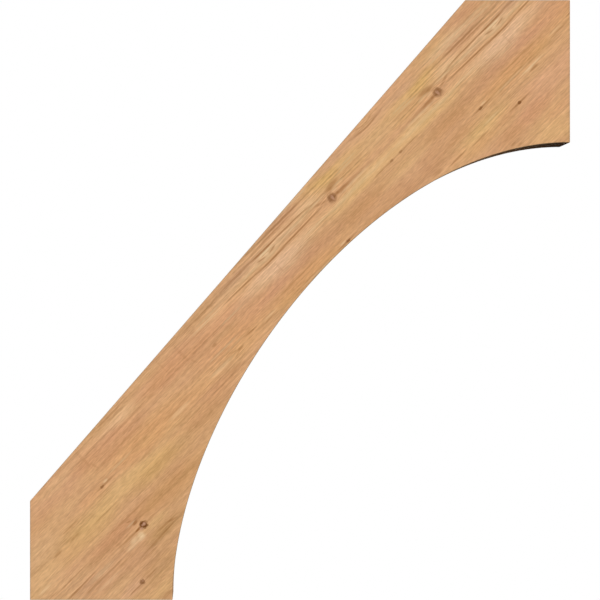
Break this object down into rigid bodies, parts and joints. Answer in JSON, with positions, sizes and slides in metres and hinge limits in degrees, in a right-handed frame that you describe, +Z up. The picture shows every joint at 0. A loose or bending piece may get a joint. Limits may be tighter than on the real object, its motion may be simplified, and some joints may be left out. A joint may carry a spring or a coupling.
{
  "type": "eave bracket",
  "caption": "Arched timber knee brace that carries a roof eave out from a wall, with a plumb wall seat, a level soffit seat and a long curved underside.",
  "frame": {"origin": "centre of the plumb seat that goes against the wall, midway across the timber", "axes": "+X out from the wall towards the outer end, +Y across the timber's thickness, +Z up"},
  "size_m": [0.9144, 0.1396, 1.016],
  "materials": {
    "timber": "matte"
  },
  "bodies": {
    "root": {"brace": "timber"}
  },
  "joints": []
}
